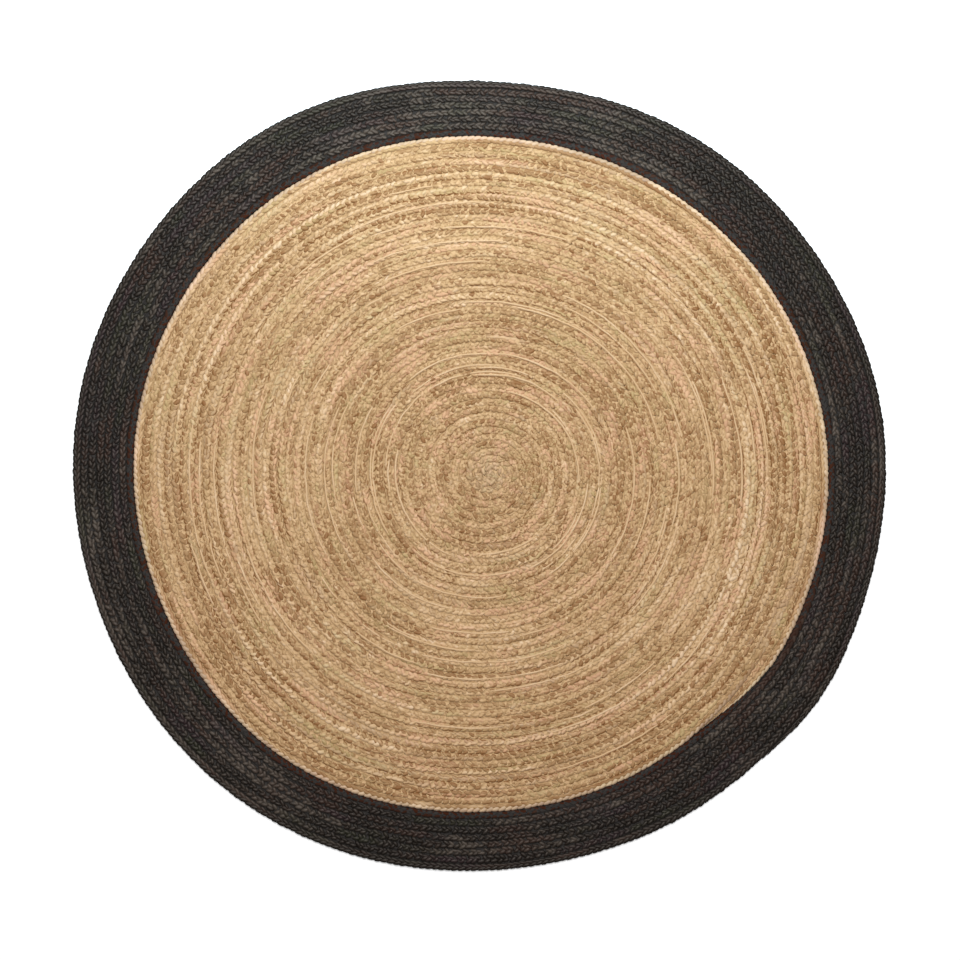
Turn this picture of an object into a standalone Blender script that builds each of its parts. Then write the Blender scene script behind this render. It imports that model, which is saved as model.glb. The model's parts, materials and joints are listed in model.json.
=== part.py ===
"""Round rug of plaited jute: a natural field wound as a flat spiral, and a black border wound on around it.

Metres, +Z up. The rug lies on its flat underside at z = 0, with the middle of its outline over the origin.
Both windings run outward clockwise, seen from above. Angles are in degrees, anticlockwise from +X, and a
length along a winding is counted in turns. The rows of plait stand up as ribs with grooves between them.
"""

from collections import namedtuple
from math import cos, floor, radians, sin

import bmesh
import bpy
from mathutils import Vector

Wave = namedtuple("Wave", "count crest height")  # waves in one turn, degrees to a crest, metres
Side = namedtuple("Side", "corner radius")

RUG_WIDTH = 1.500  # mean, over the border
FIELD_WIDTH = 1.279  # mean
EYE = Vector((0.023, 0.005))  # the middle of the innermost turn, from the middle of the field
STEPS = 48  # points in each turn

# The field is two plaits side by side. They end together, tapered, and the border's plait starts beside them.
FIELD_TURNS = 24.25
FIELD_END = 308.75
FIELD_TAPER = 22.5
TURN = 360.0
BORDER_START = FIELD_END + FIELD_TAPER
BORDER_ROWS = 8
BORDER_TURNS = BORDER_ROWS + FIELD_TAPER / TURN  # so its end tapers where its start does, and the rows stay 8
EYE_TURNS = 0.25  # the winding is this long where the fan that fills the eye begins

# How far the hand-wound rows wander: the field's edge, and the border's width
FIELD_WAVES = (
    Wave(1, 210, 0.0030),
    Wave(2, 173, 0.0046),
    Wave(3, 12, 0.0026),
    Wave(4, 43, 0.0017),
    Wave(5, 26, 0.0012),
    Wave(6, 58, 0.0011),
)
BORDER_WAVES = (
    Wave(1, 188, 0.0029),
    Wave(2, 148, 0.0015),
    Wave(3, 42, 0.0011),
    Wave(4, 41, 0.0022),
    Wave(6, 6, 0.0014),
    Wave(7, 9, 0.0015),
)

# Heights above the floor
CREST = 0.0090
PAIR_GROOVE = 0.0072  # between the two plaits of a pair
TURN_GROOVE = 0.0055  # between one pair and the next, and at the field's edge
BORDER_CREST = 0.0095
BORDER_GROOVE = 0.0062
RIM_HEIGHT = 0.0045  # where the outermost row is widest
RIM_TUCK = 0.0020  # how far the rim draws in under that
GAP = 0.0003  # between the field and the border

# Corners across a row between its two sides: share of the width, height
PAIR_LANES = ((0.25, CREST), (0.5, PAIR_GROOVE), (0.75, CREST))
PLAIT_LANES = ((0.5, BORDER_CREST),)

# A taper moves the mean of the last turn's edge back by half of its own length.
FIELD_MIDDLE_TURN = FIELD_TURNS - 0.5 - FIELD_TAPER / TURN / 2
BORDER_PITCH = (RUG_WIDTH - FIELD_WIDTH) / 2 / BORDER_ROWS

NATURAL_JUTE = (0.56, 0.36, 0.18)
BLACK_JUTE = (0.030, 0.027, 0.026)
JUTE_ROUGHNESS = 0.9
SHARP_ANGLE = radians(40)


def clear_scene():
    for thing in list(bpy.data.objects):
        bpy.data.objects.remove(thing)


def jute(name, colour):
    material = bpy.data.materials.new(name)
    material.use_nodes = True
    shader = material.node_tree.nodes["Principled BSDF"]
    shader.inputs["Base Color"].default_value = (*colour, 1.0)
    shader.inputs["Roughness"].default_value = JUTE_ROUGHNESS
    shader.inputs["Metallic"].default_value = 0.0
    material.diffuse_color = (*colour, 1.0)
    return material


def smooth(share):
    """0 up to a share of 0, 1 from a share of 1, and a soft step between."""
    share = min(max(share, 0.0), 1.0)
    return share * share * (3 - 2 * share)


def wander(waves, angle):
    return sum(wave.height * cos(wave.count * radians(angle - wave.crest)) for wave in waves)


def field_angle(turns):
    return FIELD_END + (FIELD_TURNS - turns) * TURN


def border_angle(turns):
    return BORDER_START - turns * TURN


def field_line(turns):
    """Radius of the pair's outer side, this many turns out from the eye."""
    left = (FIELD_TURNS - turns) * TURN
    narrowed = 1 - smooth(left / FIELD_TAPER)
    reach = FIELD_WIDTH / 2 + wander(FIELD_WAVES, field_angle(turns))
    return reach * (turns - narrowed) / FIELD_MIDDLE_TURN


def field_edge(angle):
    """Radius of the field's own edge, which is the outer side of the last turn."""
    left = (angle - FIELD_END) % TURN
    return field_line(FIELD_TURNS - left / TURN)


def border_rows(turns):
    """How many rows of the border lie between the field and the plait's outer side."""
    whole = floor(turns)
    started = smooth((turns - whole) * TURN / FIELD_TAPER)
    left = (BORDER_TURNS - turns) * TURN
    narrowed = 1 - smooth(left / FIELD_TAPER)
    return whole + started - narrowed


def border_line(turns):
    """Radius of the black plait's outer side, this many turns from its start."""
    angle = border_angle(turns)
    pitch = BORDER_PITCH + wander(BORDER_WAVES, angle) / BORDER_ROWS
    return field_edge(angle) + GAP + border_rows(turns) * pitch


def place(angle, radius, height):
    """A point of the rug. Inner turns are centred on the eye and outer ones on the field's middle."""
    off_centre = EYE * max(0.0, 1 - radius / (FIELD_WIDTH / 2))
    turned = radians(angle)
    return Vector((off_centre.x + radius * cos(turned), off_centre.y + radius * sin(turned), height))


def rim_middle():
    """Middle of the outline's extent along X and along Y."""
    last_turn = [BORDER_TURNS - step / STEPS for step in range(STEPS)]
    rim = [place(border_angle(turns), border_line(turns), 0.0) for turns in last_turn]
    across = [point.x for point in rim]
    along = [point.y for point in rim]
    return Vector(((min(across) + max(across)) / 2, (min(along) + max(along)) / 2, 0.0))


def add_face(mesh, corners):
    """A face over the corners that differ. Where a row tapers to nothing, corners coincide."""
    kept = list(dict.fromkeys(corners))
    if len(kept) > 2:
        mesh.faces.new(kept)


def add_rung(mesh, angle, inner, outer_radius, lanes, outer_height):
    """Corners across one row, from its inner side outward. A lane is a share of the width, and a height."""
    width = outer_radius - inner.radius
    if width < GAP:
        return [inner.corner] * (len(lanes) + 2)
    corners = [inner.corner]
    for share, height in lanes:
        corners.append(mesh.verts.new(place(angle, inner.radius + share * width, height)))
    corners.append(mesh.verts.new(place(angle, outer_radius, outer_height)))
    return corners


def add_rows(mesh, rungs):
    for rung, following in zip(rungs, rungs[1:]):
        for lane in range(len(rung) - 1):
            add_face(mesh, (rung[lane], following[lane], following[lane + 1], rung[lane + 1]))


def add_wall(mesh, top, bottom):
    """A closed wall between two rings of corners."""
    for step in range(len(top)):
        add_face(mesh, (top[step - 1], bottom[step - 1], bottom[step], top[step]))


def finish(mesh, name, material):
    bmesh.ops.recalc_face_normals(mesh, faces=mesh.faces)
    data = bpy.data.meshes.new(name)
    mesh.to_mesh(data)
    mesh.free()
    data.materials.append(material)
    data.shade_smooth()
    data.set_sharp_from_angle(angle=SHARP_ANGLE)
    thing = bpy.data.objects.new(name, data)
    thing.location = -rim_middle()
    bpy.context.scene.collection.objects.link(thing)
    return thing


def add_first_turn(mesh, middle):
    """Outer corners of the innermost turn. Nearer the eye than EYE_TURNS they are all the middle corner."""
    corners = []
    for step in range(STEPS):
        turns = step / STEPS
        if turns < EYE_TURNS:
            corners.append(middle)
        else:
            corners.append(mesh.verts.new(place(field_angle(turns), field_line(turns), TURN_GROOVE)))
    return corners


def fill_eye(mesh, middle, first_turn, first_rung):
    """Fills the innermost turn. Its last faces meet every corner of the first full rung."""
    for corner, following in zip(first_turn, first_turn[1:]):
        add_face(mesh, (middle, corner, following))
    for inner, outer in zip(first_rung, first_rung[1:]):
        add_face(mesh, (first_turn[-1], outer, inner))


def natural_field():
    """Two natural plaits side by side, wound from the eye to the border and sewn edge to edge."""
    mesh = bmesh.new()
    middle = mesh.verts.new(place(0.0, 0.0, CREST))
    outer_side = add_first_turn(mesh, middle)
    first_turn = list(outer_side)
    rungs = []
    for step in range(STEPS, round(FIELD_TURNS * STEPS) + 1):
        turns = step / STEPS
        started = turns - 1 >= EYE_TURNS
        inner = Side(outer_side[step - STEPS], field_line(turns - 1) if started else 0.0)
        rungs.append(add_rung(mesh, field_angle(turns), inner, field_line(turns), PAIR_LANES, TURN_GROOVE))
        outer_side.append(rungs[-1][-1])
    add_rows(mesh, rungs)
    fill_eye(mesh, middle, first_turn, rungs[0])
    outline = outer_side[-STEPS:]
    foot = [mesh.verts.new((corner.co.x, corner.co.y, 0.0)) for corner in outline]
    add_wall(mesh, outline, foot)
    add_face(mesh, foot)
    return finish(mesh, "natural_field", jute("natural_jute", NATURAL_JUTE))


def black_border():
    """One black plait wound on around the field, its start and its end tapered."""
    mesh = bmesh.new()
    total = round(BORDER_TURNS * STEPS)
    last_turn = total - STEPS  # from the step after this one on, the plait's outer side is the rim
    inner_side = []
    inner_foot = []
    for step in range(STEPS):
        angle = border_angle(step / STEPS)
        radius = field_edge(angle) + GAP
        inner_side.append(Side(mesh.verts.new(place(angle, radius, BORDER_GROOVE)), radius))
        inner_foot.append(mesh.verts.new(place(angle, radius, 0.0)))
    rungs = []
    for step in range(total + 1):
        turns = step / STEPS
        outer_radius = border_line(turns)
        height = RIM_HEIGHT if step > last_turn else BORDER_GROOVE
        rung = add_rung(mesh, border_angle(turns), inner_side[step], outer_radius, PLAIT_LANES, height)
        rungs.append(rung)
        inner_side.append(Side(rung[-1], outer_radius))
    add_rows(mesh, rungs)
    rim = [rung[-1] for rung in rungs[last_turn + 1 :]]
    rim_foot = []
    for step in range(last_turn + 1, total + 1):
        turns = step / STEPS
        rim_foot.append(mesh.verts.new(place(border_angle(turns), border_line(turns) - RIM_TUCK, 0.0)))
    add_wall(mesh, rim, rim_foot)
    add_wall(mesh, inner_foot, [side.corner for side in inner_side[:STEPS]])
    for step in range(STEPS):
        here = (last_turn + 1 + step) % STEPS
        add_face(mesh, (inner_foot[here - 1], inner_foot[here], rim_foot[step], rim_foot[step - 1]))
    return finish(mesh, "black_border", jute("black_jute", BLACK_JUTE))


def build():
    clear_scene()
    natural_field()
    black_border()


build()
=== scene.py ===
"""Round rug of plaited jute, dressed for the studio.

The two natural plaits and the black one are laid strand by strand along the lines of the winding, over a
ribbed ground that stands for the inside and the underside of the rug. Metres, +Z up.
Angles are in degrees, anticlockwise from +X, and a length along a winding is counted in turns.
"""

import json
from collections import namedtuple
from math import cos, floor, pi, radians, sin, sqrt, tau

import bmesh
import bpy
import numpy as np
from bpy.props import FloatProperty, FloatVectorProperty, IntProperty, PointerProperty
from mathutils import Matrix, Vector, noise

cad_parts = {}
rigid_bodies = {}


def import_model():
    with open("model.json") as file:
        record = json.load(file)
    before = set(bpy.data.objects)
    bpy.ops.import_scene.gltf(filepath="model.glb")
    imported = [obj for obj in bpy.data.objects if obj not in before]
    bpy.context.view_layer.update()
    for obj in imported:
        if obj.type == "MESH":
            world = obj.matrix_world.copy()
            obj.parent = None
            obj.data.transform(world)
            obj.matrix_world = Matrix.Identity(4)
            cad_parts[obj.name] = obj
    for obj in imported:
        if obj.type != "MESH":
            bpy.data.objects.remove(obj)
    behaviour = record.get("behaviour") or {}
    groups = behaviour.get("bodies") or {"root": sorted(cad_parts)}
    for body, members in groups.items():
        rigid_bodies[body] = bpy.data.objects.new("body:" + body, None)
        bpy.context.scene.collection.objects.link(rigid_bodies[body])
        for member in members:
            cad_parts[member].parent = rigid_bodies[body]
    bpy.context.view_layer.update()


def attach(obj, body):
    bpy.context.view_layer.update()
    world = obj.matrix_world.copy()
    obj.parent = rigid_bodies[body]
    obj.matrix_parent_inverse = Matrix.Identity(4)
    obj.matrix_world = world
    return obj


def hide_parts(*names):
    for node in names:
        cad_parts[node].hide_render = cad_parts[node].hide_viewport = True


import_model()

bl_info = {
    "name": "Round plaited jute rug",
    "version": (1, 0, 0),
    "blender": (4, 5, 0),
    "location": "3D View > Sidebar > Jute Rug",
    "description": "Lays the plaits of a round jute rug, and sets up a studio around it",
    "category": "Object",
}

Wave = namedtuple("Wave", "count crest height")  # waves in one turn, degrees to a crest, metres
Station = namedtuple("Station", "along across height half_width half_thickness")

# The winding, as in the part's source
RUG_WIDTH = 1.500
FIELD_WIDTH = 1.279
EYE = Vector((0.023, 0.005))
TURN = 360.0
FIELD_TURNS = 24.25
FIELD_END = 308.75
FIELD_TAPER = 22.5
BORDER_START = FIELD_END + FIELD_TAPER
BORDER_ROWS = 8
BORDER_TURNS = BORDER_ROWS + FIELD_TAPER / TURN
FIELD_WAVES = (
    Wave(1, 210, 0.0030),
    Wave(2, 173, 0.0046),
    Wave(3, 12, 0.0026),
    Wave(4, 43, 0.0017),
    Wave(5, 26, 0.0012),
    Wave(6, 58, 0.0011),
)
BORDER_WAVES = (
    Wave(1, 188, 0.0029),
    Wave(2, 148, 0.0015),
    Wave(3, 42, 0.0011),
    Wave(4, 41, 0.0022),
    Wave(6, 6, 0.0014),
    Wave(7, 9, 0.0015),
)
GAP = 0.0003
FIELD_MIDDLE_TURN = FIELD_TURNS - 0.5 - FIELD_TAPER / TURN / 2
BORDER_PITCH = (RUG_WIDTH - FIELD_WIDTH) / 2 / BORDER_ROWS
PAIR_PITCH = FIELD_WIDTH / 2 / FIELD_MIDDLE_TURN
FOLD = 0.22  # of a pair's pitch: how far round the fold in the eye is
FIELD_CREST = 0.0090
BORDER_CREST = 0.0095
LEAST_FULL = 0.6  # of a crest: height of a row where it has tapered to nothing
STEPS = 96  # points in each turn
LOBE_PITCH = 0.012  # from one strand to the next on the same side of a row

# How the hand shows. Waves and reaches are in metres, and shifts keep the noise of turns apart.
STRAY = ((0.130, 0.0022), (0.035, 0.0012))  # how far the lines between rows stray: wavelength, reach
STRAY_SHIFT = 5.3
BORDER_STRAY = 50  # turns that keep the border's noise apart from the field's
PULL = 0.10  # how much narrower or wider a row is where it was pulled tight or left slack
PULL_WAVE = 0.12
PULL_SHIFT = 2.7
THINNEST = 0.2  # of a row's width: a row that tapers below this has no strands
STEP_LENGTH = 0.1  # of a turn: how soon a row takes on another crest or calm
FIRST_CREST = 0.88  # of the border's crest: its first row lies a little lower
FIRST_CALM = 0.4  # how evenly the strands of the border's first row lie, from 0 to 1

# One strand between two crossings, in lengths of a strand, widths of a row and heights of the row's crest.
# It comes up at the row's side and dives under past the middle.
STATIONS = (
    Station(0.50, 0.340, 0.76, 0.0, 0.0),
    Station(0.26, 0.270, 0.83, 0.250, 0.11),
    Station(0.00, 0.190, 0.88, 0.315, 0.12),
    Station(-0.26, 0.080, 0.86, 0.290, 0.11),
    Station(-0.50, -0.040, 0.78, 0.0, 0.0),
)
SIDES = 6  # faces around a strand

# How loosely strands lie where looseness is 1. Each reach goes either way, except for the height.
LOOSE_TURN = (0.12, 0.06, 0.32)  # radians around the strand's own axes
LOOSE_LENGTH = 0.2  # shares of the strand's size
LOOSE_WIDTH = 0.14
LOOSE_HEIGHT = (-0.05, 0.03)
LOOSE_SHIFT = (0.0007, 0.0007, 0.0002)  # metres
LOOSE_SLIP = 0.0027  # metres along the row
CALMING = 0.7  # how much less loose a calm row is
CALM_STRETCH = 0.35  # how much longer its strands are
FULL_WIDTH = 1.08  # of a row's width: how wide a strand is laid, so that rows meet
PLAIT_TILT = 0.16  # radians: a pair's outer sides lie lower than its middle

# The pale yarns
YARNS = 96
YARN_GROUP = 3  # yarns that lie near each other
YARN_TURNS = (5.0, FIELD_TURNS - 3.2)  # where the first of a group starts
YARN_LENGTH = (0.07, 0.32)
YARN_ROUND = 0.2  # of the way round: the longest that a yarn may be
YARN_STOP = 0.15  # turns before the field's end: all have ended there
YARN_LEAN = 0.17  # of a row's width: how far off its middle a yarn lies
YARN_STEP = 0.008
YARN_STRAY = 0.0012
YARN_STRAY_WAVE = 0.02
YARN_SINK = 0.03  # length of an end, where the yarn sinks in
YARN_DEPTH = 0.0021  # how far below the crest its ends lie
YARN_RISE = 0.0010
YARN_SWELL = 0.0012
YARN_SWELL_WAVE = 0.035
YARN_SEED = 11

# Where the windings are cut into pieces, in turns
FIELD_CUT = 17.0
BORDER_CUT = 4.2
BORDER_SEED = 50  # keeps the black plait's chances apart from the natural ones'

# The studio, in metres from the middle of the rug's solids: a light's place, what it points at, and its size
WINDOW = ((0.0, 1.12, 0.80), (0.0, 1.02, 0.0), (1.7, 0.3))
CEILING = ((0.0, 0.9, 4.2), (0.0, 0.0, 0.0), (2.0, 2.2))
CAMERA_SHIFT = (0.00358, -0.00613)
SENSOR = 36.0  # millimetres
FLOOR_REACH = 9.0
FLOOR_HEIGHT = -0.0004


# Node trees


def overload(operation):
    """A Python operator and its reflected form, which add a Math node."""
    return (
        lambda number, other: number.tree.math(operation, number, other),
        lambda number, other: number.tree.math(operation, other, number),
    )


class Num:
    """A number that a node gives. Arithmetic with it adds Math nodes."""

    def __init__(self, tree, socket):
        self.tree = tree
        self.socket = socket

    __add__, __radd__ = overload("ADD")
    __sub__, __rsub__ = overload("SUBTRACT")
    __mul__, __rmul__ = overload("MULTIPLY")
    __truediv__, __rtruediv__ = overload("DIVIDE")
    __mod__, __rmod__ = overload("MODULO")

    def between(self, low, high):
        """0 below low, 1 above high, and a soft step between."""
        values = {"Value": self, "From Min": low, "From Max": high}
        return Num(self.tree, self.tree.add("ShaderNodeMapRange", values, interpolation_type="SMOOTHSTEP"))


class Tree:
    """Adds nodes to a node tree, and links them as they are made."""

    def __init__(self, tree):
        self.tree = tree

    def add(self, kind, values=None, **settings):
        """A node with the values or links of its sockets and with its settings."""
        node = self.tree.nodes.new(kind)
        for name, value in settings.items():
            if name == "stops":
                self.set_stops(node.color_ramp, value)
            else:
                setattr(node, name, value)
        for name, value in (values or {}).items():
            self.feed(node.inputs[name], value)
        return node

    def set_stops(self, ramp, stops):
        while len(ramp.elements) < len(stops):
            ramp.elements.new(0.5)
        for element, (position, colour) in zip(ramp.elements, stops):
            element.position = position
            element.color = (*colour, 1.0)

    def feed(self, socket, value):
        """Links or sets a socket. A node stands for its first output."""
        if isinstance(value, Num):
            value = value.socket
        if isinstance(value, bpy.types.Node):
            value = value.outputs[0]
        if isinstance(value, bpy.types.NodeSocket):
            self.tree.links.new(value, socket)
        else:
            socket.default_value = value

    def math(self, operation, *values):
        return Num(self, self.add("ShaderNodeMath", dict(enumerate(values)), operation=operation))

    def vector(self, operation, *values):
        return self.add("ShaderNodeVectorMath", dict(enumerate(values)), operation=operation)

    def scale(self, vector, factor):
        return self.add("ShaderNodeVectorMath", {"Vector": vector, "Scale": factor}, operation="SCALE")

    def combine(self, x, y, z):
        return self.add("ShaderNodeCombineXYZ", {"X": x, "Y": y, "Z": z})

    def separate(self, vector):
        """The vector's first two numbers."""
        parts = self.add("ShaderNodeSeparateXYZ", {0: vector}).outputs
        return Num(self, parts[0]), Num(self, parts[1])

    def spot(self):
        """In a finish: the spot's place on the rug."""
        return self.add("ShaderNodeTexCoord").outputs["Object"]

    def attribute(self, name):
        """In a finish: a number stored on the mesh."""
        return Num(self, self.add("ShaderNodeAttribute", attribute_name=name).outputs["Fac"])

    def stored(self, name):
        """In Geometry Nodes: a number stored on the points."""
        return Num(self, self.add("GeometryNodeInputNamedAttribute", {"Name": name}, data_type="FLOAT"))

    def noise(self, vector, scale, detail=2.0, roughness=0.5):
        values = {"Vector": vector, "Scale": scale, "Detail": detail, "Roughness": roughness}
        return Num(self, self.add("ShaderNodeTexNoise", values))

    def mix(self, share, first, second):
        """The first colour where share is 0 and the second where it is 1."""
        node = self.add("ShaderNodeMix", {0: share}, data_type="RGBA")
        for socket, colour in ((6, first), (7, second)):
            linked = isinstance(colour, bpy.types.NodeSocket)
            self.feed(node.inputs[socket], colour if linked else (*colour, 1.0))
        return node.outputs[2]


# The lines of the winding


def smooth(share):
    """A soft step from 0 to 1."""
    share = min(max(share, 0.0), 1.0)
    return share * share * (3 - 2 * share)


def wander(waves, angle):
    """How far an edge lies off its circle."""
    return sum(wave.height * cos(wave.count * radians(angle - wave.crest)) for wave in waves)


def field_angle(turns):
    return FIELD_END + (FIELD_TURNS - turns) * TURN


def border_angle(turns):
    return BORDER_START - turns * TURN


def narrowed(left):
    """Share of its width that a row has lost, this many turns before its end."""
    return 1 - smooth(left * TURN / FIELD_TAPER)


def field_line(turns):
    """Radius of the pair's outer side, this many turns out from the eye."""
    reach = FIELD_WIDTH / 2 + wander(FIELD_WAVES, field_angle(turns))
    return reach * (turns - narrowed(FIELD_TURNS - turns)) / FIELD_MIDDLE_TURN


def field_edge(angle):
    """Radius of the field's edge."""
    return field_line(FIELD_TURNS - (angle - FIELD_END) % TURN / TURN)


def border_rows(turns):
    """How many rows of the border lie between the field and the plait's outer side."""
    whole = floor(turns)
    started = smooth((turns - whole) * TURN / FIELD_TAPER)
    return whole + started - narrowed(BORDER_TURNS - turns)


def border_line(turns):
    """Radius of the black plait's outer side, this many turns from its start."""
    angle = border_angle(turns)
    pitch = BORDER_PITCH + wander(BORDER_WAVES, angle) / BORDER_ROWS
    return field_edge(angle) + GAP + border_rows(turns) * pitch


def field_sides(turns):
    """Inner and outer radius of the pair."""
    return field_line(turns - 1), field_line(turns)


def border_sides(turns):
    """Inner and outer radius of the black plait."""
    inner = field_edge(border_angle(turns)) + GAP if turns < 1 else border_line(turns - 1)
    return inner, border_line(turns)


def place(angle, radius, height):
    """A point of the rug. Inner turns are centred on the eye and outer ones on the field's middle."""
    off_centre = EYE * max(0.0, 1 - radius / (FIELD_WIDTH / 2))
    turned = radians(angle)
    return Vector((off_centre.x + radius * cos(turned), off_centre.y + radius * sin(turned), height))


def rim_middle():
    """Middle of the outline's extent along X and along Y."""
    steps = 48
    last_turn = [BORDER_TURNS - step / steps for step in range(steps)]
    rim = [place(border_angle(turns), border_line(turns), 0.0) for turns in last_turn]
    across, along, _ = zip(*rim)
    return Vector(((min(across) + max(across)) / 2, (min(along) + max(along)) / 2, 0.0))


RIM_MIDDLE = rim_middle()
EYE_MIDDLE = Vector((EYE.x / 2, EYE.y / 2, 0.0))  # what the rows of the field turn around, on average


def seat(angle, radius, height):
    """A point of the rug where its CAD solids lie."""
    return place(angle, radius, height) - RIM_MIDDLE


def fullness(share):
    """How high a row stands where it is this share of its full width."""
    return LEAST_FULL + (1 - LEAST_FULL) * min(1.0, max(0.0, share))


# The ground under the plaits


def new_object(name, data):
    thing = bpy.data.objects.new(name, data)
    bpy.context.scene.collection.objects.link(thing)
    return thing


def finished_mesh(mesh, name):
    bmesh.ops.recalc_face_normals(mesh, faces=mesh.faces)
    data = bpy.data.meshes.new(name)
    mesh.to_mesh(data)
    mesh.free()
    return data


GROUND_STEPS = 64  # corners in each turn
GROUND_LANES = ((0.0, 0.0), (0.2, 0.75), (0.5, 1.0), (0.8, 0.75))  # across a row: shares of its width and rise
GROUND_CREST = 0.0082
GROUND_GROOVE = 0.0071
GROUND_EDGE = 0.0030  # height where the top and the underside meet
UNDER_GROOVE = 0.0014  # height of the grooves in the underside
BAKE_ROOM = 0.07  # of a strand's square in its bake map, left free on each side
BAKE_SIDE = 1.6  # metres to the bake map's height and to half its width


def ground_heights(lift, full, at_edge):
    """Heights of the top and of the underside."""
    if at_edge:
        return GROUND_EDGE, GROUND_EDGE
    return fullness(full) * (GROUND_GROOVE + (GROUND_CREST - GROUND_GROOVE) * lift), UNDER_GROOVE * (1 - lift)


def ground_rungs(sides, angle_at, total, pitch, rows_wide, holed):
    """Corners across the winding at each step, above and below: a place, and its length along and its row."""
    lanes = [((row + share) / rows_wide, lift) for row in range(rows_wide) for share, lift in GROUND_LANES]
    lanes.append((1.0, 0.0))
    halves = [], []
    length = 0.0
    for step in range(round(total * GROUND_STEPS) + 1):
        turns = step / GROUND_STEPS
        inner, outer = sides(turns)
        inner = max(inner, 0.0)
        closing = turns == total or (holed and turns == 0)
        for half in halves:
            half.append([])
        for share, lift in lanes:
            at_edge = closing or (share == 1 and turns >= total - 1) or (holed and share == 0 and turns <= 1)
            if turns == 0:
                lift = 0.0
            for half, height in zip(halves, ground_heights(lift, (outer - inner) / pitch, at_edge)):
                spot = seat(angle_at(turns), inner + share * (outer - inner), height)
                half[-1].append((spot, (length, share * rows_wide)))
        length += tau / GROUND_STEPS * (inner + outer) / 2
    return halves


def lay_ground(name, sides, angle_at, total, pitch, rows_wide, holed):
    """A closed ribbed mat under a winding. Its top and its underside have rows that follow the plaits."""
    mesh = bmesh.new()
    row_map = mesh.loops.layers.uv.new("Row")
    bake_map = mesh.loops.layers.uv.new("OFBake")
    welded = {}

    def corner(spot):
        key = tuple(round(value, 5) for value in spot)
        if key not in welded:
            welded[key] = mesh.verts.new(spot)
        return welded[key]

    halves = ground_rungs(sides, angle_at, total, pitch, rows_wide, holed)
    for middle, turned, rungs in zip((0.25, 0.75), (1, -1), halves):
        for rung, following in zip(rungs, rungs[1:]):
            for lane in range(len(rung) - 1):
                four = (rung[lane], rung[lane + 1], following[lane + 1], following[lane])
                row_places = {corner(spot): row_place for spot, row_place in four}
                if len(row_places) < 3:
                    continue
                face = mesh.faces.new(row_places)
                face.smooth = True
                for loop in face.loops:
                    spot = loop.vert.co
                    loop[row_map].uv = row_places[loop.vert]
                    loop[bake_map].uv = (middle + turned * spot.x / (2 * BAKE_SIDE), 0.5 + spot.y / BAKE_SIDE)
    return new_object(name, finished_mesh(mesh, name))


# Strands


def strand_mesh(name, way):
    """One strand between two crossings. Its way is 1, or -1 for its mirror image."""
    mesh = bmesh.new()
    rings = []
    for station in STATIONS:
        middle = Vector((station.along, way * station.across, station.height))
        ring = []
        for side in range(SIDES if station.half_width else 1):
            turned = tau * side / SIDES - pi / 2  # from the underside, round
            across = Vector((0.0, cos(turned) * station.half_width, sin(turned) * station.half_thickness))
            ring.append(mesh.verts.new(middle + across))
        rings.append(ring)
    uv_map = mesh.loops.layers.uv.new("Strand")
    spans = len(rings) - 1
    for span in range(spans):
        for side in range(SIDES):
            corners = {}
            for after, at in ((0, side), (0, side + 1), (1, side + 1), (1, side)):
                ring = rings[span + after]
                around = side + 0.5 if len(ring) == 1 else at
                corners[ring[at % len(ring)]] = ((span + after) / spans, around / SIDES)
            face = mesh.faces.new(corners)
            face.smooth = True
            for loop in face.loops:
                loop[uv_map].uv = corners[loop.vert]
    return finished_mesh(mesh, name)


def new_lines(name, lines, *labels):
    """Lines for plaits or yarns to follow. Each point has a place, and a number for each label."""
    points = [point for line in lines for point in line]
    ends = np.cumsum([len(line) for line in lines])
    edges = [(step - 1, step) for step in range(1, len(points)) if step not in ends]
    data = bpy.data.meshes.new(name)
    data.from_pydata([point[0] for point in points], edges, [])
    for index, label in enumerate(labels, 1):
        layer = data.attributes.new(label, "FLOAT", "POINT")
        layer.data.foreach_set("value", [point[index] for point in points])
    return new_object(name, data)


def uneven(spot, wave, shift):
    """A number from -1 to 1 that changes softly over the rug."""
    return noise.noise(Vector((spot.x / wave, spot.y / wave, shift)))


def strayed(angle, radius, turns):
    """A radius on a line between two rows, with the hand's straying added."""
    spot = place(angle, radius, 0.0)
    return radius + sum(reach * uneven(spot, wave, turns * STRAY_SHIFT) for wave, reach in STRAY)


def last_row_calm(turns, total):
    """1 in the last row of a winding, where the strands lie evenly, and 0 before it."""
    return smooth((turns - total + 1 + STEP_LENGTH) / STEP_LENGTH)


def field_points(share, first, last):
    """Points along one of the two natural plaits. They meet in the eye, where one plait is folded in two."""
    begin = max(first, 1 - share + FOLD)  # the middle of the row is as far out as the fold there
    points = []
    for step in range(floor((last - begin) * STEPS) + 1):
        turns = begin + step / STEPS
        angle = field_angle(turns)
        inner, outer = field_sides(turns)
        full = min(1.0, (outer - inner) / PAIR_PITCH)
        if full < THINNEST:
            break
        between = strayed(angle, (inner + outer) / 2, turns - 0.5)
        if turns > 2:
            inner = strayed(angle, inner, turns - 1)
        if turns < FIELD_TURNS - 1:
            outer = strayed(angle, outer, turns)
        inner, outer = (inner, between) if share < 0.5 else (between, outer)
        radius = sqrt(max(((inner + outer) / 2) ** 2 - (FOLD * PAIR_PITCH) ** 2, 0.0))
        crest = FIELD_CREST * fullness(full)
        calm = round(share) * last_row_calm(turns, FIELD_TURNS)
        spot = place(angle, radius, 0.0)
        pulled = 1 + PULL * uneven(spot, PULL_WAVE, (turns + share) * PULL_SHIFT)
        points.append((spot - RIM_MIDDLE, (outer - inner) * pulled, crest, turns, round(share), calm))
    return points


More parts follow.
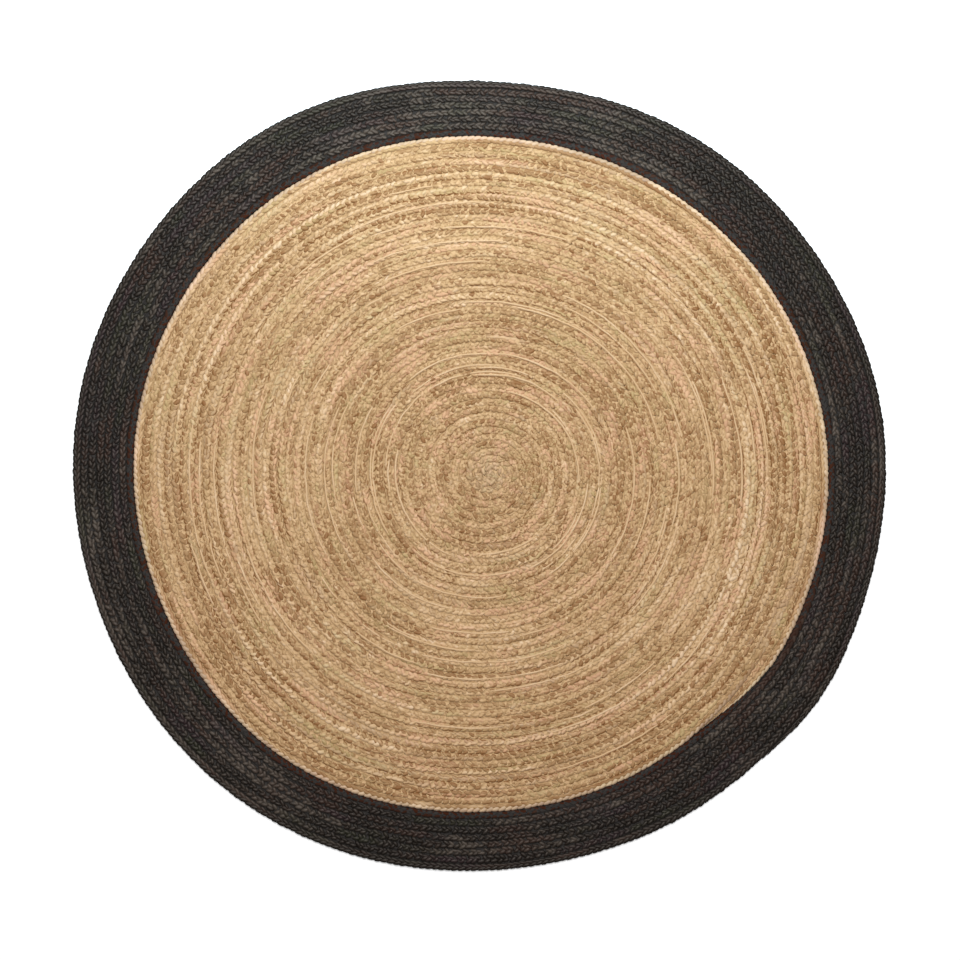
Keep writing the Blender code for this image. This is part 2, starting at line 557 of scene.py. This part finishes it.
def border_points(first, last):
    """Points along the black plait."""
    points = []
    for step in range(floor((last - first) * STEPS) + 1):
        turns = first + step / STEPS
        angle = border_angle(turns)
        inner, outer = border_sides(turns)
        full = min(1.0, (outer - inner) / BORDER_PITCH)
        if full < THINNEST:
            continue
        if turns > 1:
            inner = strayed(angle, inner, turns + BORDER_STRAY)
        if turns < BORDER_TURNS - 1:
            outer = strayed(angle, outer, turns + BORDER_STRAY + 1)
        past_first = smooth((turns - 1 + STEP_LENGTH / 2) / STEP_LENGTH)
        crest = BORDER_CREST * fullness(full) * (FIRST_CREST + (1 - FIRST_CREST) * past_first)
        first_calm = FIRST_CALM * (1 - smooth((turns - 1) / STEP_LENGTH))
        calm = max(first_calm, last_row_calm(turns, BORDER_TURNS))
        points.append((seat(angle, (inner + outer) / 2, 0.0), outer - inner, crest, turns, 0.5, calm))
    return points


def new_group(name, inputs, result):
    """A Geometry Nodes tree with these inputs and one output."""
    group = bpy.data.node_groups.new(name, "GeometryNodeTree")
    for label, kind in inputs.items():
        group.interface.new_socket(label, in_out="INPUT", socket_type=f"NodeSocket{kind}")
    group.interface.new_socket(result, in_out="OUTPUT", socket_type="NodeSocketGeometry")
    tree = Tree(group)
    return group, tree, tree.add("NodeGroupInput").outputs


def end_group(tree, geometry, finish):
    """Ends a Geometry Nodes tree with plain geometry in its finish."""
    real = tree.add("GeometryNodeRealizeInstances", {"Geometry": geometry})
    dressed = tree.add("GeometryNodeSetMaterial", {"Geometry": real, "Material": finish})
    tree.add("NodeGroupOutput", {0: dressed})


def plait_tree():
    """Lays strands along a line, left and right in turn."""
    inputs = {
        "Line": "Geometry",
        "Left Strand": "Object",
        "Right Strand": "Object",
        "Spacing": "Float",
        "Strand Length": "Float",
        "Looseness": "Float",
        "Seed": "Int",
        "Finish": "Material",
    }
    group, tree, given = new_group("Plait along a line", inputs, "Plait")
    calm = tree.stored("calm")
    loose = Num(tree, given["Looseness"]) * (1.0 - calm * CALMING)

    def chance(low, high, seed):
        values = {2: low, 3: high, "Seed": Num(tree, given["Seed"]) + seed}
        return Num(tree, tree.add("FunctionNodeRandomValue", values, data_type="FLOAT").outputs[1])

    def stray(reach, seed):
        return chance(-reach, reach, seed) * loose

    curve = tree.add("GeometryNodeMeshToCurve", {"Mesh": given["Line"]})
    values = {"Curve": curve, "Length": given["Spacing"]}
    spaced = tree.add("GeometryNodeCurveToPoints", values, mode="LENGTH").outputs
    points, tangent = spaced["Points"], spaced["Tangent"]
    index = Num(tree, tree.add("GeometryNodeInputIndex"))
    for name, value in (
        ("tone", chance(0.0, 1.0, 1)),
        ("odd_tone", chance(0.0, 1.0, 12)),
        ("strand", index % 3),
        ("along", index * Num(tree, given["Spacing"])),
        ("right", index % 2),
    ):
        values = {"Geometry": points, "Name": name, "Value": value}
        points = tree.add("GeometryNodeStoreNamedAttribute", values, data_type="FLOAT", domain="POINT")
    aligned = tree.add("FunctionNodeAlignRotationToVector", {"Vector": tangent}, axis="X", pivot_axis="Z")
    tilt = (0.5 - tree.stored("plait")) * PLAIT_TILT
    shaken = [stray(reach, 2 + axis) for axis, reach in enumerate(LOOSE_TURN)]
    values = {0: aligned, 1: tree.combine(tilt + shaken[0], shaken[1], shaken[2])}
    turned = tree.add("FunctionNodeRotateRotation", values, rotation_space="LOCAL")
    size = tree.combine(
        Num(tree, given["Strand Length"]) * (1.0 + calm * CALM_STRETCH) * (1.0 + stray(LOOSE_LENGTH, 6)),
        tree.stored("row_width") * (FULL_WIDTH + stray(LOOSE_WIDTH, 5)),
        tree.stored("crest") * (1.0 + chance(*LOOSE_HEIGHT, 7) * loose),
    )
    shift = tree.combine(*(stray(reach, 8 + axis) for axis, reach in enumerate(LOOSE_SHIFT)))
    slipped = tree.vector("ADD", shift, tree.scale(tangent, stray(LOOSE_SLIP, 11)))
    points = tree.add("GeometryNodeSetPosition", {"Geometry": points, "Offset": slipped})
    both = tree.add("GeometryNodeJoinGeometry")
    for name, parity in (("Left Strand", 0.0), ("Right Strand", 1.0)):
        shape = tree.add("GeometryNodeObjectInfo", {"Object": given[name]}, transform_space="ORIGINAL")
        values = {
            "Points": points,
            "Selection": tree.math("COMPARE", tree.stored("right"), parity, 0.25),
            "Instance": shape.outputs["Geometry"],
            "Rotation": turned,
            "Scale": size,
        }
        tree.feed(both.inputs[0], tree.add("GeometryNodeInstanceOnPoints", values))
    end_group(tree, both, given["Finish"])
    return group


def yarn_points():
    """Long pale yarns that lie along a row for a hand or two, and sink in at both ends."""
    chance = np.random.default_rng(YARN_SEED)
    for yarn in range(YARNS):
        if yarn % YARN_GROUP == 0:
            nearest, furthest = YARN_TURNS
            begin = sqrt(float(chance.uniform(nearest**2, furthest**2)))  # as many in each square metre
            share = float(chance.choice((0.25, 0.75)))
        else:  # near the one before, a row further out
            begin += 0.5 + float(chance.uniform(-0.05, 0.05)) + 0.5 * (share - 0.75)
            share = 1.0 - share
        lean = float(chance.choice((-YARN_LEAN, YARN_LEAN)))
        inner, outer = field_sides(begin)
        round_length = tau * (inner + outer) / 2
        reach = min(float(chance.uniform(*YARN_LENGTH)), YARN_ROUND * round_length)
        last = min(begin + reach / round_length, FIELD_TURNS - YARN_STOP)
        side = share + lean * 0.5
        steps = max(12, round(reach / YARN_STEP))
        points = []
        for step in range(steps + 1):
            done = step / steps
            turns = begin + (last - begin) * done
            angle = field_angle(turns)
            inner, outer = field_sides(turns)
            radius = strayed(angle, inner + side * (outer - inner), turns - 1 + side)
            radius += YARN_STRAY * noise.noise(Vector((yarn * 7.7, done * reach / YARN_STRAY_WAVE, 0.0)))
            out = smooth(min(done, 1 - done) * reach / YARN_SINK)
            swell = noise.noise(Vector((yarn * 3.1, done * reach / YARN_SWELL_WAVE, 5.0)))
            height = FIELD_CREST - YARN_DEPTH + YARN_RISE * out + YARN_SWELL * swell
            points.append((seat(angle, radius, height), out * (1 + 0.4 * swell)))
        yield points


def yarn_tree():
    """Gives lines a round body, thinner at their ends."""
    inputs = {"Lines": "Geometry", "Thickness": "Float", "Finish": "Material"}
    group, tree, given = new_group("Yarn along lines", inputs, "Yarns")
    curve = tree.add("GeometryNodeMeshToCurve", {"Mesh": given["Lines"]})
    radius = (tree.stored("body") * 0.7 + 0.3) * Num(tree, given["Thickness"]) * 0.5
    values = {"Resolution": SIDES, "Radius": 1.0}
    ring = tree.add("GeometryNodeCurvePrimitiveCircle", values, mode="RADIUS")
    values = {"Curve": curve, "Profile Curve": ring, "Scale": radius, "Fill Caps": True}
    end_group(tree, tree.add("GeometryNodeCurveToMesh", values), given["Finish"])
    return group


def run_tree(thing, group, values):
    """Runs a Geometry Nodes tree on an object and keeps the result as its plain mesh."""
    modifier = thing.modifiers.new("Nodes", "NODES")
    modifier.node_group = group
    sockets = {item.name: item.identifier for item in group.interface.items_tree if item.in_out == "INPUT"}
    for name, value in values.items():
        modifier[sockets[name]] = value
    bpy.context.view_layer.update()
    depsgraph = bpy.context.evaluated_depsgraph_get()
    result = bpy.data.meshes.new_from_object(
        thing.evaluated_get(depsgraph), preserve_all_data_layers=True, depsgraph=depsgraph
    )
    thing.modifiers.remove(modifier)
    lines, thing.data = thing.data, result
    bpy.data.meshes.remove(lines)
    result.name = thing.name


def add_bake_map(data, loops_each):
    """A map where each strand has a square of its own, with room around it."""
    count = len(data.loops)
    uvs = np.empty(count * 2, dtype=np.float32)
    data.uv_layers["Strand"].data.foreach_get("uv", uvs)
    uvs = uvs.reshape(-1, 2)
    strand = np.arange(count) // loops_each
    wide = int(np.ceil(np.sqrt(count / loops_each)))
    tile = np.stack((strand % wide, strand // wide), axis=1)
    packed = ((BAKE_ROOM + (1 - 2 * BAKE_ROOM) * uvs) + tile) / wide
    layer = data.uv_layers.new(name="OFBake")
    layer.data.foreach_set("uv", packed.astype(np.float32).ravel())


# Finishes

FIBRE_DEPTH = 0.0006  # metres: depth of the bump between fibres
# Painted shade: black for the ends of the black strands, where they dive under others
STRAND_END_SHADE = (0.004, 0.0035, 0.003)
# Painted shade: black for the sides of the black strands that lean into a groove between rows
GROOVE_SHADE_BLACK = (0.003, 0.0022, 0.0015)


def new_finish(name, colour):
    material = bpy.data.materials.new(name)
    material.use_nodes = True
    material.node_tree.nodes.clear()
    material.diffuse_color = (*colour, 1.0)
    return material, Tree(material.node_tree)


def end_finish(tree, colour, rough, specular, bump=None, more=None):
    """The shader of a finish. A bump is its strength, its depth in metres and its height."""
    values = {"Base Color": colour, "Roughness": rough, "Specular IOR Level": specular, **(more or {})}
    if bump:
        raised = dict(zip(("Strength", "Distance", "Height"), bump))
        values["Normal"] = tree.add("ShaderNodeBump", raised)
    shader = tree.add("ShaderNodeBsdfPrincipled", values)
    tree.add("ShaderNodeOutputMaterial", {"Surface": shader})


def layered(tree, colour, layers):
    """A colour with others mixed in over it. A layer is a share and its colour."""
    for share, other in layers:
        colour = tree.mix(share, colour, other)
    return colour


def swing(value, reach):
    """Makes a number around 0.5 into one around 0."""
    return (value - 0.5) * reach


def strand_places(tree):
    """How far along and around its strand a spot is, and which way and how far from the rug's middle."""
    along, around = tree.separate(tree.add("ShaderNodeUVMap", uv_map="Strand"))
    spot = tree.vector("ADD", tree.spot(), tuple(RIM_MIDDLE - EYE_MIDDLE))
    flat = tree.vector("MULTIPLY", spot, (1.0, 1.0, 0.0))
    length = tree.add("ShaderNodeVectorMath", {0: flat}, operation="LENGTH").outputs["Value"]
    return along, around, tree.vector("NORMALIZE", flat), Num(tree, length)


def strand_fibres(tree, along, around):
    """Streaks along the fibres of a strand, slow changes along its yarn, and the height of its bump."""
    spot = tree.combine(along * 2.0, around * 14.0, tree.attribute("tone") * 40.0)
    streaks = tree.noise(spot, 2.2, 3.0, 0.6)
    yarn = tree.combine(tree.attribute("along") * 7.0, tree.attribute("strand") * 9.0, 0.0)
    return streaks, tree.noise(yarn, 1.0), streaks * 0.7 + tree.noise(spot, 9.0) * 0.5


def strand_middle(tree, along):
    """0 at both ends of a strand, where it dives under others, and 1 between them."""
    return along.between(0.0, 0.22) * (1.0 - along).between(0.0, 0.30)


def drift(tree, outward, lane, around_rate, across_rate, detail=2.0):
    """Soft noise in streaks along the winding. It changes from lane to lane, and a lane is any number."""
    rings = tree.combine(0.0, 0.0, lane * across_rate)
    return tree.noise(tree.vector("ADD", tree.scale(outward, around_rate), rings), 1.0, detail)


def beside_groove(tree, along, around, inner_side):
    """1 on the side of a strand that leans into the groove beside its row."""
    leaning = ((0.5 - around) * (1.0 - inner_side * 2.0)).between(0.03, 0.15)
    return leaning * (1.0 - along.between(0.55, 0.85))


def natural_finish(look):
    """Straw-coloured jute: a tone for each strand, streaks along its fibres, and drifts along the rows."""
    material, tree = new_finish("natural_jute_strands", look.straw)
    along, around, outward, radius = strand_places(tree)
    streaks, slow, height = strand_fibres(tree, along, around)
    turns, plait, inner_side, tone, odd_tone = map(tree.attribute, ("turns", "plait", "right", "tone", "odd_tone"))
    first_plait, outer_side = 1.0 - plait, 1.0 - inner_side
    lane = turns + plait * 0.5 + outer_side * 0.25  # a number for each half of a row
    groove = turns + (plait + outer_side) * 0.5  # the same on both sides of a groove between rows

    # Painted highlight along the middle of each pair and painted shade towards the grooves between pairs, in the
    # outer turns, and turns where one plait of the pair is paler
    marked = turns.between(18.5, 19.3) * (22.9 - turns).between(0.0, 0.8)
    pair_crest_highlight = first_plait * outer_side
    pair_edge_shade = plait * outer_side + first_plait * inner_side * 0.5
    between_pairs = plait * outer_side + first_plait * inner_side
    first_paler = turns.between(3.0, 4.0) * (8.5 - turns).between(0.0, 1.5)
    second_paler = turns.between(11.3, 12.3) * (15.5 - turns).between(0.0, 1.0)

    # How pale the straw is
    share = 0.41 + swing(tone, 0.25) + swing(streaks, 0.35) + swing(slow, 0.5)
    for reach, *drifting in (
        (1.3, lane, 1.1, 2.3),
        (0.7, lane + 60.0, 4.0, 2.6, 3.0),
        (0.8, turns + 20.0, 1.2, 1.3),
        (0.8, turns, 0.6, 0.45),
        (0.8, radius, 45.0, 300.0, 1.0),
        (1.3, radius + 9.0, 34.0, 95.0),
    ):
        share = share + swing(drift(tree, outward, *drifting), reach)
    share = share - turns.between(17.0, 22.0) * 0.19 - (15.0 - turns).between(0.0, 4.0) * 0.13
    share = share + marked * (pair_crest_highlight * 0.30 - pair_edge_shade * 0.14)
    share = share + (0.5 - plait) * (first_paler - second_paler) * 0.18
    stops = ((0.0, look.shade), (0.35, look.straw), (0.65, look.pale), (1.0, look.bleached))
    straw = tree.add("ShaderNodeValToRGB", {"Fac": share}, stops=stops).outputs["Color"]

    # Patches, long lines and dashes over it, and painted shade in the grooves between rows
    warm = drift(tree, outward, lane + 40.0, 3.0, 1.2, 3.0)
    lines = drift(tree, outward, lane + 90.0, 1.6, 3.1)
    clusters = drift(tree, outward, lane + 130.0, 2.6, 2.2, 3.0)
    dashes = drift(tree, outward, radius + 5.0, 26.0, 210.0, 1.0)
    deep = drift(tree, outward, groove + 200.0, 1.5, 2.9)
    # in the outer turns the dark dashes gather at the painted shade beside the pairs' grooves, and the pale ones
    # at the painted highlight on the pairs' middles
    odd = odd_tone * 0.6 + swing(clusters, 1.9) - swing(lines, 1.2) + marked * (pair_edge_shade * 0.22 - pair_crest_highlight * 0.6)
    # painted shade on the strand sides that lean into a groove, in stretches along the grooves, and along every
    # groove between pairs in the outer turns
    painted_groove_shade = beside_groove(tree, along, around, inner_side)
    painted_groove_shade = painted_groove_shade * (deep.between(0.52, 0.60) + marked * between_pairs)
    last_row = turns.between(FIELD_TURNS - 1.06, FIELD_TURNS - 1.0) * plait * outer_side
    last_row = last_row * (1.0 - along.between(0.55, 0.95))
    layers = (
        (warm.between(0.52, 0.66) * 0.6, look.pink),
        ((1.0 - warm).between(0.53, 0.70) * 0.5, look.khaki),
        (lines.between(0.59, 0.67) * 0.26, look.bleached),
        ((1.0 - lines).between(0.58, 0.66) * 0.9, look.shade),
        # painted light: the ends of the strands, where they dive under others, are painted paler
        ((1.0 - strand_middle(tree, along)) * 0.15, look.bleached),
        ((dashes + odd * 0.38).between(0.72, 0.84) * 0.7, look.dark),
        ((1.0 - dashes - odd * 0.35).between(0.56, 0.68) * 0.3, look.bleached),
        (odd_tone.between(0.988, 0.994) * 0.75, look.dark),
        (painted_groove_shade * (0.62 + dashes.between(0.4, 0.6) * 0.36), look.dark),
        ((1.0 - turns.between(0.9, 2.6)) * 0.2, look.worn),
        (last_row * 0.24, look.frosted),
    )
    sheen = {"Sheen Weight": 0.08, "Sheen Roughness": 0.5, "Sheen Tint": (1.0, 0.9, 0.75, 1.0)}
    rough = 0.56 + streaks * 0.2
    end_finish(tree, layered(tree, straw, layers), rough, 0.4, (0.25, FIBRE_DEPTH, height), sheen)
    return material


def black_finish(look):
    """Black-dyed jute: grey where fibres catch the light, with a painted sheen that greys the far side under the
    window, and brown where the dye is thin.
    """
    material, tree = new_finish("black_jute_strands", look.black)
    along, around, outward, radius = strand_places(tree)
    streaks, slow, height = strand_fibres(tree, along, around)
    turns, inner_side = tree.attribute("turns"), tree.attribute("right")
    window_sheen_side = tree.separate(outward)[1]
    share = 0.31 + swing(tree.attribute("tone"), 0.4) + swing(streaks, 0.5) + swing(slow, 0.7)
    for reach, *drifting in (
        (1.5, turns, 6.0, 1.3, 3.0),
        (3.6, turns, 2.0, 0.35),
        (1.8, radius, 45.0, 95.0),
    ):
        share = share + swing(drift(tree, outward, *drifting), reach)
    # painted sheen: the far side, towards the window, is painted greyer
    share = share + window_sheen_side.between(0.3, 1.0) * 0.38
    stops = ((0.15, look.black), (0.5, look.char), (1.0, look.grey))
    dyed = tree.add("ShaderNodeValToRGB", {"Fac": share}, stops=stops).outputs["Color"]
    warm = drift(tree, outward, turns + 40.0, 5.0, 0.5, 3.0)
    bruise = drift(tree, outward, turns + 80.0, 4.0, 0.6, 3.0)
    beside = beside_groove(tree, along, around, inner_side)
    first_row = 1.0 - turns.between(0.95, 1.05)
    # painted shade: the outer side of the last row, where the rim falls away, is painted black
    rim_edge_shade = turns.between(BORDER_TURNS - 1.06, BORDER_TURNS - 1.0) * (1.0 - inner_side)
    layers = (
        (warm.between(0.50, 0.64) * 0.7, look.brown),
        ((1.0 - warm).between(0.54, 0.68) * 0.6, look.moss),
        (bruise.between(0.52, 0.66) * 0.6, look.plum),
        (first_row * (0.55 + inner_side * 0.3), look.rust),
        (rim_edge_shade * 0.85, look.black),
        # painted shade: the strands' ends, where they dive under others, are painted darker
        ((1.0 - strand_middle(tree, along)) * 0.5, STRAND_END_SHADE),
        # painted shade: the strand sides that lean into the groove beside the row are painted darker
        (beside * 0.85, GROOVE_SHADE_BLACK),
    )
    rough = 0.38 + streaks * 0.2 + beside * 0.3 + first_row * 0.5
    tint = {"Specular Tint": (1.0, 0.88, 0.79, 1.0)}
    end_finish(tree, layered(tree, dyed, layers), rough, 0.27, (0.3, FIBRE_DEPTH, height), tint)
    return material


def yarn_finish(look):
    """The pale yarns: smooth bleached fibres along the row."""
    material, tree = new_finish("pale_jute_yarn", look.bleached)
    grain = tree.noise(tree.spot(), 300.0, 2.0, 0.6)
    patch = tree.noise(tree.spot(), 14.0)
    colour = tree.mix((grain * 0.5 + patch * 0.5).between(0.43, 0.76), look.pale, look.bleached)
    end_finish(tree, colour, 0.6 + grain * 0.2, 0.5, (0.3, 0.0004, grain))
    return material


def ground_finish(name, light, dark):
    """The inside and underside of the rug: the same plait, drawn along its rows, with painted shade between the
    drawn strands and along the rows' edges.
    """
    material, tree = new_finish(name, light)
    along, across = tree.separate(tree.add("ShaderNodeUVMap", uv_map="Row"))
    in_row = tree.math("FRACT", across)
    off_middle = tree.math("ABSOLUTE", in_row - 0.5) * 2.0
    other_side = tree.math("GREATER_THAN", in_row, 0.5) * 0.5
    lobe_place = along / LOBE_PITCH + off_middle * 0.45 + other_side
    wave = tree.math("PINGPONG", tree.math("FRACT", lobe_place), 0.5) * 2.0
    lobe = wave.between(0.05, 0.5) * (1.0 - off_middle).between(0.0, 0.35)
    grain = tree.noise(tree.combine(along * 260.0, across * 9.0, 0.0), 1.0, 3.0, 0.6)
    patch = tree.noise(tree.spot(), 30.0, 3.0, 0.6)
    share = lobe * 0.6 + grain * 0.35 + patch * 0.3 - 0.15
    # painted shade: the dark colour fills the seams between drawn strands and the rows' edges, the light one their
    # middles, with grain and patches mixed in
    colour = tree.mix(share.between(0.0, 0.9), dark, light)
    end_finish(tree, colour, 0.75 + grain * 0.2, 0.5, (0.9, 0.0016, lobe + grain * 0.4))
    return material


# What a user would change


def tint(name, description, default):
    kind = {"subtype": "COLOR", "size": 3, "min": 0.0, "max": 1.0}
    return FloatVectorProperty(name=name, description=description, default=default, **kind)


def amount(name, description, default, **kind):
    return FloatProperty(name=name, description=description, default=default, min=0.0, **kind)


def measure(name, description, default):
    return amount(name, description, default, subtype="DISTANCE", unit="LENGTH")


class PlaitShape(bpy.types.PropertyGroup):
    spacing: measure("Strand spacing", "Distance from one strand to the next", 0.006)
    strand_length: measure("Strand length", "Length of a strand between two crossings", 0.0165)
    yarn: measure("Yarn thickness", "Thickness of the pale yarns", 0.0040)
    looseness: amount("Looseness", "How unevenly strands lie", 1.0, max=2.0)
    seed: IntProperty(name="Seed", description="Start of everything random in the plaits", default=7)


class JuteColours(bpy.types.PropertyGroup):
    straw: tint("Straw", "Most of the natural jute", (0.365, 0.219, 0.098))
    pale: tint("Pale straw", "Lighter strands", (0.456, 0.287, 0.146))
    bleached: tint("Bleached", "The lightest fibres", (0.56, 0.395, 0.248))
    shade: tint("Shaded straw", "Darker strands", (0.243, 0.125, 0.046))
    pink: tint("Pink", "Pinkish drifts", (0.52, 0.285, 0.165))
    khaki: tint("Khaki", "Greenish patches", (0.35, 0.265, 0.11))
    # In the grooves between rows this dark fibre colour is painted shade
    dark: tint("Dark fibre", "Dashes, odd strands, and grooves between rows", (0.182, 0.070, 0.0135))
    worn: tint("Worn grey", "The middle of the rug", (0.38, 0.315, 0.205))
    frosted: tint("Frosted edge", "The last row, beside the black", (0.66, 0.56, 0.46))
    black: tint("Black", "Most of the dyed jute", (0.0052, 0.0032, 0.002))
    char: tint("Worn black", "Lighter dyed strands", (0.0125, 0.0084, 0.006))
    # Grey is also the painted sheen on the border's far side
    grey: tint("Grey", "The lightest dyed fibres", (0.046, 0.035, 0.027))
    rust: tint("Rust", "The first black row, beside the straw", (0.037, 0.0070, 0.0008))
    brown: tint("Brown", "Where the dye is thin", (0.023, 0.01, 0.0066))
    moss: tint("Moss", "Where the dye has turned green", (0.0125, 0.014, 0.0068))
    plum: tint("Plum", "Where the dye has turned purple", (0.018, 0.0095, 0.0125))


class StudioLook(bpy.types.PropertyGroup):
    floor: tint("Floor", "Plain pale floor", (0.93, 0.93, 0.93))
    window_power: amount("Window power", "Soft light over the far side", 17.6, unit="POWER")
    window_colour: tint("Window colour", "Colour of the light over the far side", (0.72, 0.92, 1.0))
    ceiling_power: amount("Ceiling power", "Soft light overhead", 222.0, unit="POWER")
    sky: amount("Sky strength", "Light from all round", 0.24)
    view_width: measure("View width", "Width of the floor in the picture", 1.7881)
    camera_height: measure("Camera height", "Distance from the rug's top to the camera", 3.0)


# Operators


def dress(piece, material):
    """Gives a piece its finish and its body."""
    piece.data.materials.clear()
    piece.data.materials.append(material)
    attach(piece, "root")


def lay_plait(name, points, finish, seed):
    """Lays one piece of a plait along its points."""
    shape = bpy.context.scene.jute_plaits
    line = new_lines(name, [points], "row_width", "crest", "turns", "plait", "calm")
    values = {
        "Left Strand": bpy.data.objects["left_strand"],
        "Right Strand": bpy.data.objects["right_strand"],
        "Spacing": shape.spacing,
        "Strand Length": shape.strand_length,
        "Looseness": shape.looseness,
        "Seed": shape.seed * 100 + seed,
        "Finish": finish,
    }
    run_tree(line, bpy.data.node_groups.get("Plait along a line") or plait_tree(), values)
    add_bake_map(line.data, len(bpy.data.meshes["left_strand"].loops))
    dress(line, finish)


def make_strands():
    """The two shapes that every plait is laid from."""
    for name, way in (("left_strand", 1), ("right_strand", -1)):
        if name not in bpy.data.objects:
            new_object(name, strand_mesh(name, way))


class RUG_OT_ground(bpy.types.Operator):
    """Lay the ribbed ground under the field and the border"""

    bl_idname = "jute_rug.ground"
    bl_label = "Ground"

    def execute(self, context):
        look = context.scene.jute_colours
        field = lay_ground("field_ground", field_sides, field_angle, FIELD_TURNS, PAIR_PITCH, 2, False)
        dress(field, ground_finish("natural_jute_ground", look.pale, look.straw))
        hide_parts("natural_field")
        border = lay_ground("border_ground", border_sides, border_angle, BORDER_TURNS, BORDER_PITCH, 1, True)
        dress(border, ground_finish("black_jute_ground", look.char, look.black))
        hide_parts("black_border")
        return {"FINISHED"}


class RUG_OT_natural_plaits(bpy.types.Operator):
    """Lay the two natural plaits from the eye to the border"""

    bl_idname = "jute_rug.natural_plaits"
    bl_label = "Natural plaits"

    def execute(self, context):
        make_strands()
        finish = natural_finish(context.scene.jute_colours)
        for label, share in (("first", 0.25), ("second", 0.75)):
            for part, first, last in (("inner", 0.0, FIELD_CUT), ("outer", FIELD_CUT, FIELD_TURNS)):
                points = field_points(share, first, last)
                seed = 10 * round(share * 4) + round(first)
                lay_plait(f"natural_{label}_plait_{part}", points, finish, seed)
        return {"FINISHED"}


class RUG_OT_pale_yarns(bpy.types.Operator):
    """Lay the long pale yarns that run along some rows"""

    bl_idname = "jute_rug.pale_yarns"
    bl_label = "Pale yarns"

    def execute(self, context):
        finish = yarn_finish(context.scene.jute_colours)
        yarns = new_lines("natural_pale_yarns", list(yarn_points()), "body")
        run_tree(yarns, yarn_tree(), {"Thickness": context.scene.jute_plaits.yarn, "Finish": finish})
        yarns.data.shade_smooth()
        dress(yarns, finish)
        return {"FINISHED"}


class RUG_OT_black_plait(bpy.types.Operator):
    """Lay the black plait around the field"""

    bl_idname = "jute_rug.black_plait"
    bl_label = "Black plait"

    def execute(self, context):
        make_strands()
        finish = black_finish(context.scene.jute_colours)
        for part, first, last in (("inner", 0.0, BORDER_CUT), ("outer", BORDER_CUT, BORDER_TURNS)):
            points = border_points(first, last)
            lay_plait(f"black_plait_{part}", points, finish, BORDER_SEED + round(first))
        return {"FINISHED"}


class RUG_OT_studio(bpy.types.Operator):
    """Set the floor, the lights and the camera"""

    bl_idname = "jute_rug.studio"
    bl_label = "Studio"

    def execute(self, context):
        scene = context.scene
        look = scene.jute_studio
        add_floor(look.floor)
        add_light("window", look.window_power, look.window_colour, *WINDOW)
        add_light("ceiling", look.ceiling_power, (1.0, 1.0, 1.0), *CEILING)
        world = bpy.data.worlds.new("studio_air")
        world.use_nodes = True
        air = world.node_tree.nodes["Background"].inputs
        air["Color"].default_value = (1.0, 1.0, 1.0, 1.0)
        air["Strength"].default_value = look.sky
        scene.world = world
        scene.view_settings.view_transform = "Standard"
        data = bpy.data.cameras.new("camera")
        data.sensor_width = SENSOR
        data.lens = SENSOR * look.camera_height / look.view_width
        data.clip_end = 50.0
        camera = new_object("camera", data)
        camera.location = Vector((*CAMERA_SHIFT, look.camera_height + FIELD_CREST)) - RIM_MIDDLE
        scene.camera = camera
        return {"FINISHED"}


def add_floor(colour):
    corners = [(x * FLOOR_REACH, y * FLOOR_REACH, FLOOR_HEIGHT) for x, y in ((-1, -1), (1, -1), (1, 1), (-1, 1))]
    data = bpy.data.meshes.new("floor")
    data.from_pydata(corners, [], [range(len(corners))])
    material, tree = new_finish("pale_floor", colour)
    cloudy = tree.noise(tree.spot(), 3.0) * 0.02
    end_finish(tree, tree.mix(cloudy, colour, (0.8, 0.8, 0.8)), 0.9, 0.2)
    data.materials.append(material)
    new_object("floor", data)


def add_light(name, power, colour, location, target, size):
    data = bpy.data.lights.new(name, "AREA")
    data.shape = "RECTANGLE"
    data.energy = power
    data.color = colour
    data.size, data.size_y = size
    light = new_object(name, data)
    light.location = location
    light.rotation_euler = (Vector(target) - Vector(location)).to_track_quat("-Z", "Y").to_euler()
    light.visible_camera = False


class RUG_PT_panel(bpy.types.Panel):
    """The rug's pieces in the order that they are made"""

    bl_idname = "RUG_PT_panel"
    bl_label = "Jute Rug"
    bl_space_type = "VIEW_3D"
    bl_region_type = "UI"
    bl_category = "Jute Rug"

    def draw(self, context):
        layout = self.layout
        for operator in OPERATORS:
            layout.operator(operator.bl_idname)
        for setting in SETTINGS:
            group = getattr(context.scene, setting)
            box = layout.box()
            for name in group.bl_rna.properties.keys():
                if name not in ("name", "rna_type"):
                    box.prop(group, name)


OPERATORS = (RUG_OT_ground, RUG_OT_natural_plaits, RUG_OT_pale_yarns, RUG_OT_black_plait, RUG_OT_studio)
SETTINGS = {"jute_plaits": PlaitShape, "jute_colours": JuteColours, "jute_studio": StudioLook}
CLASSES = (*SETTINGS.values(), *OPERATORS, RUG_PT_panel)


def register():
    for item in CLASSES:
        bpy.utils.register_class(item)
    for name, group in SETTINGS.items():
        setattr(bpy.types.Scene, name, PointerProperty(type=group))


def unregister():
    for name in SETTINGS:
        delattr(bpy.types.Scene, name)
    for item in reversed(CLASSES):
        bpy.utils.unregister_class(item)


def declare_sheets():
    """Gathers the plaits that lie on each of the two grounds, and does nothing more with them."""
    for name, start, flat, area in (
        ("field_ground", "natural_", (1.294, 1.258), 1.285),
        ("border_ground", "black_", (0.1105, 4.37), None),
    ):
        plaits = [thing for thing in bpy.data.objects if thing.name.startswith(start)]


def main():
    register()
    bpy.ops.jute_rug.ground()
    bpy.ops.jute_rug.natural_plaits()
    bpy.ops.jute_rug.pale_yarns()
    bpy.ops.jute_rug.black_plait()
    bpy.ops.jute_rug.studio()
    for name in ("left_strand", "right_strand"):
        bpy.data.objects.remove(bpy.data.objects[name])
    declare_sheets()


if __name__ == "__main__":
    main()
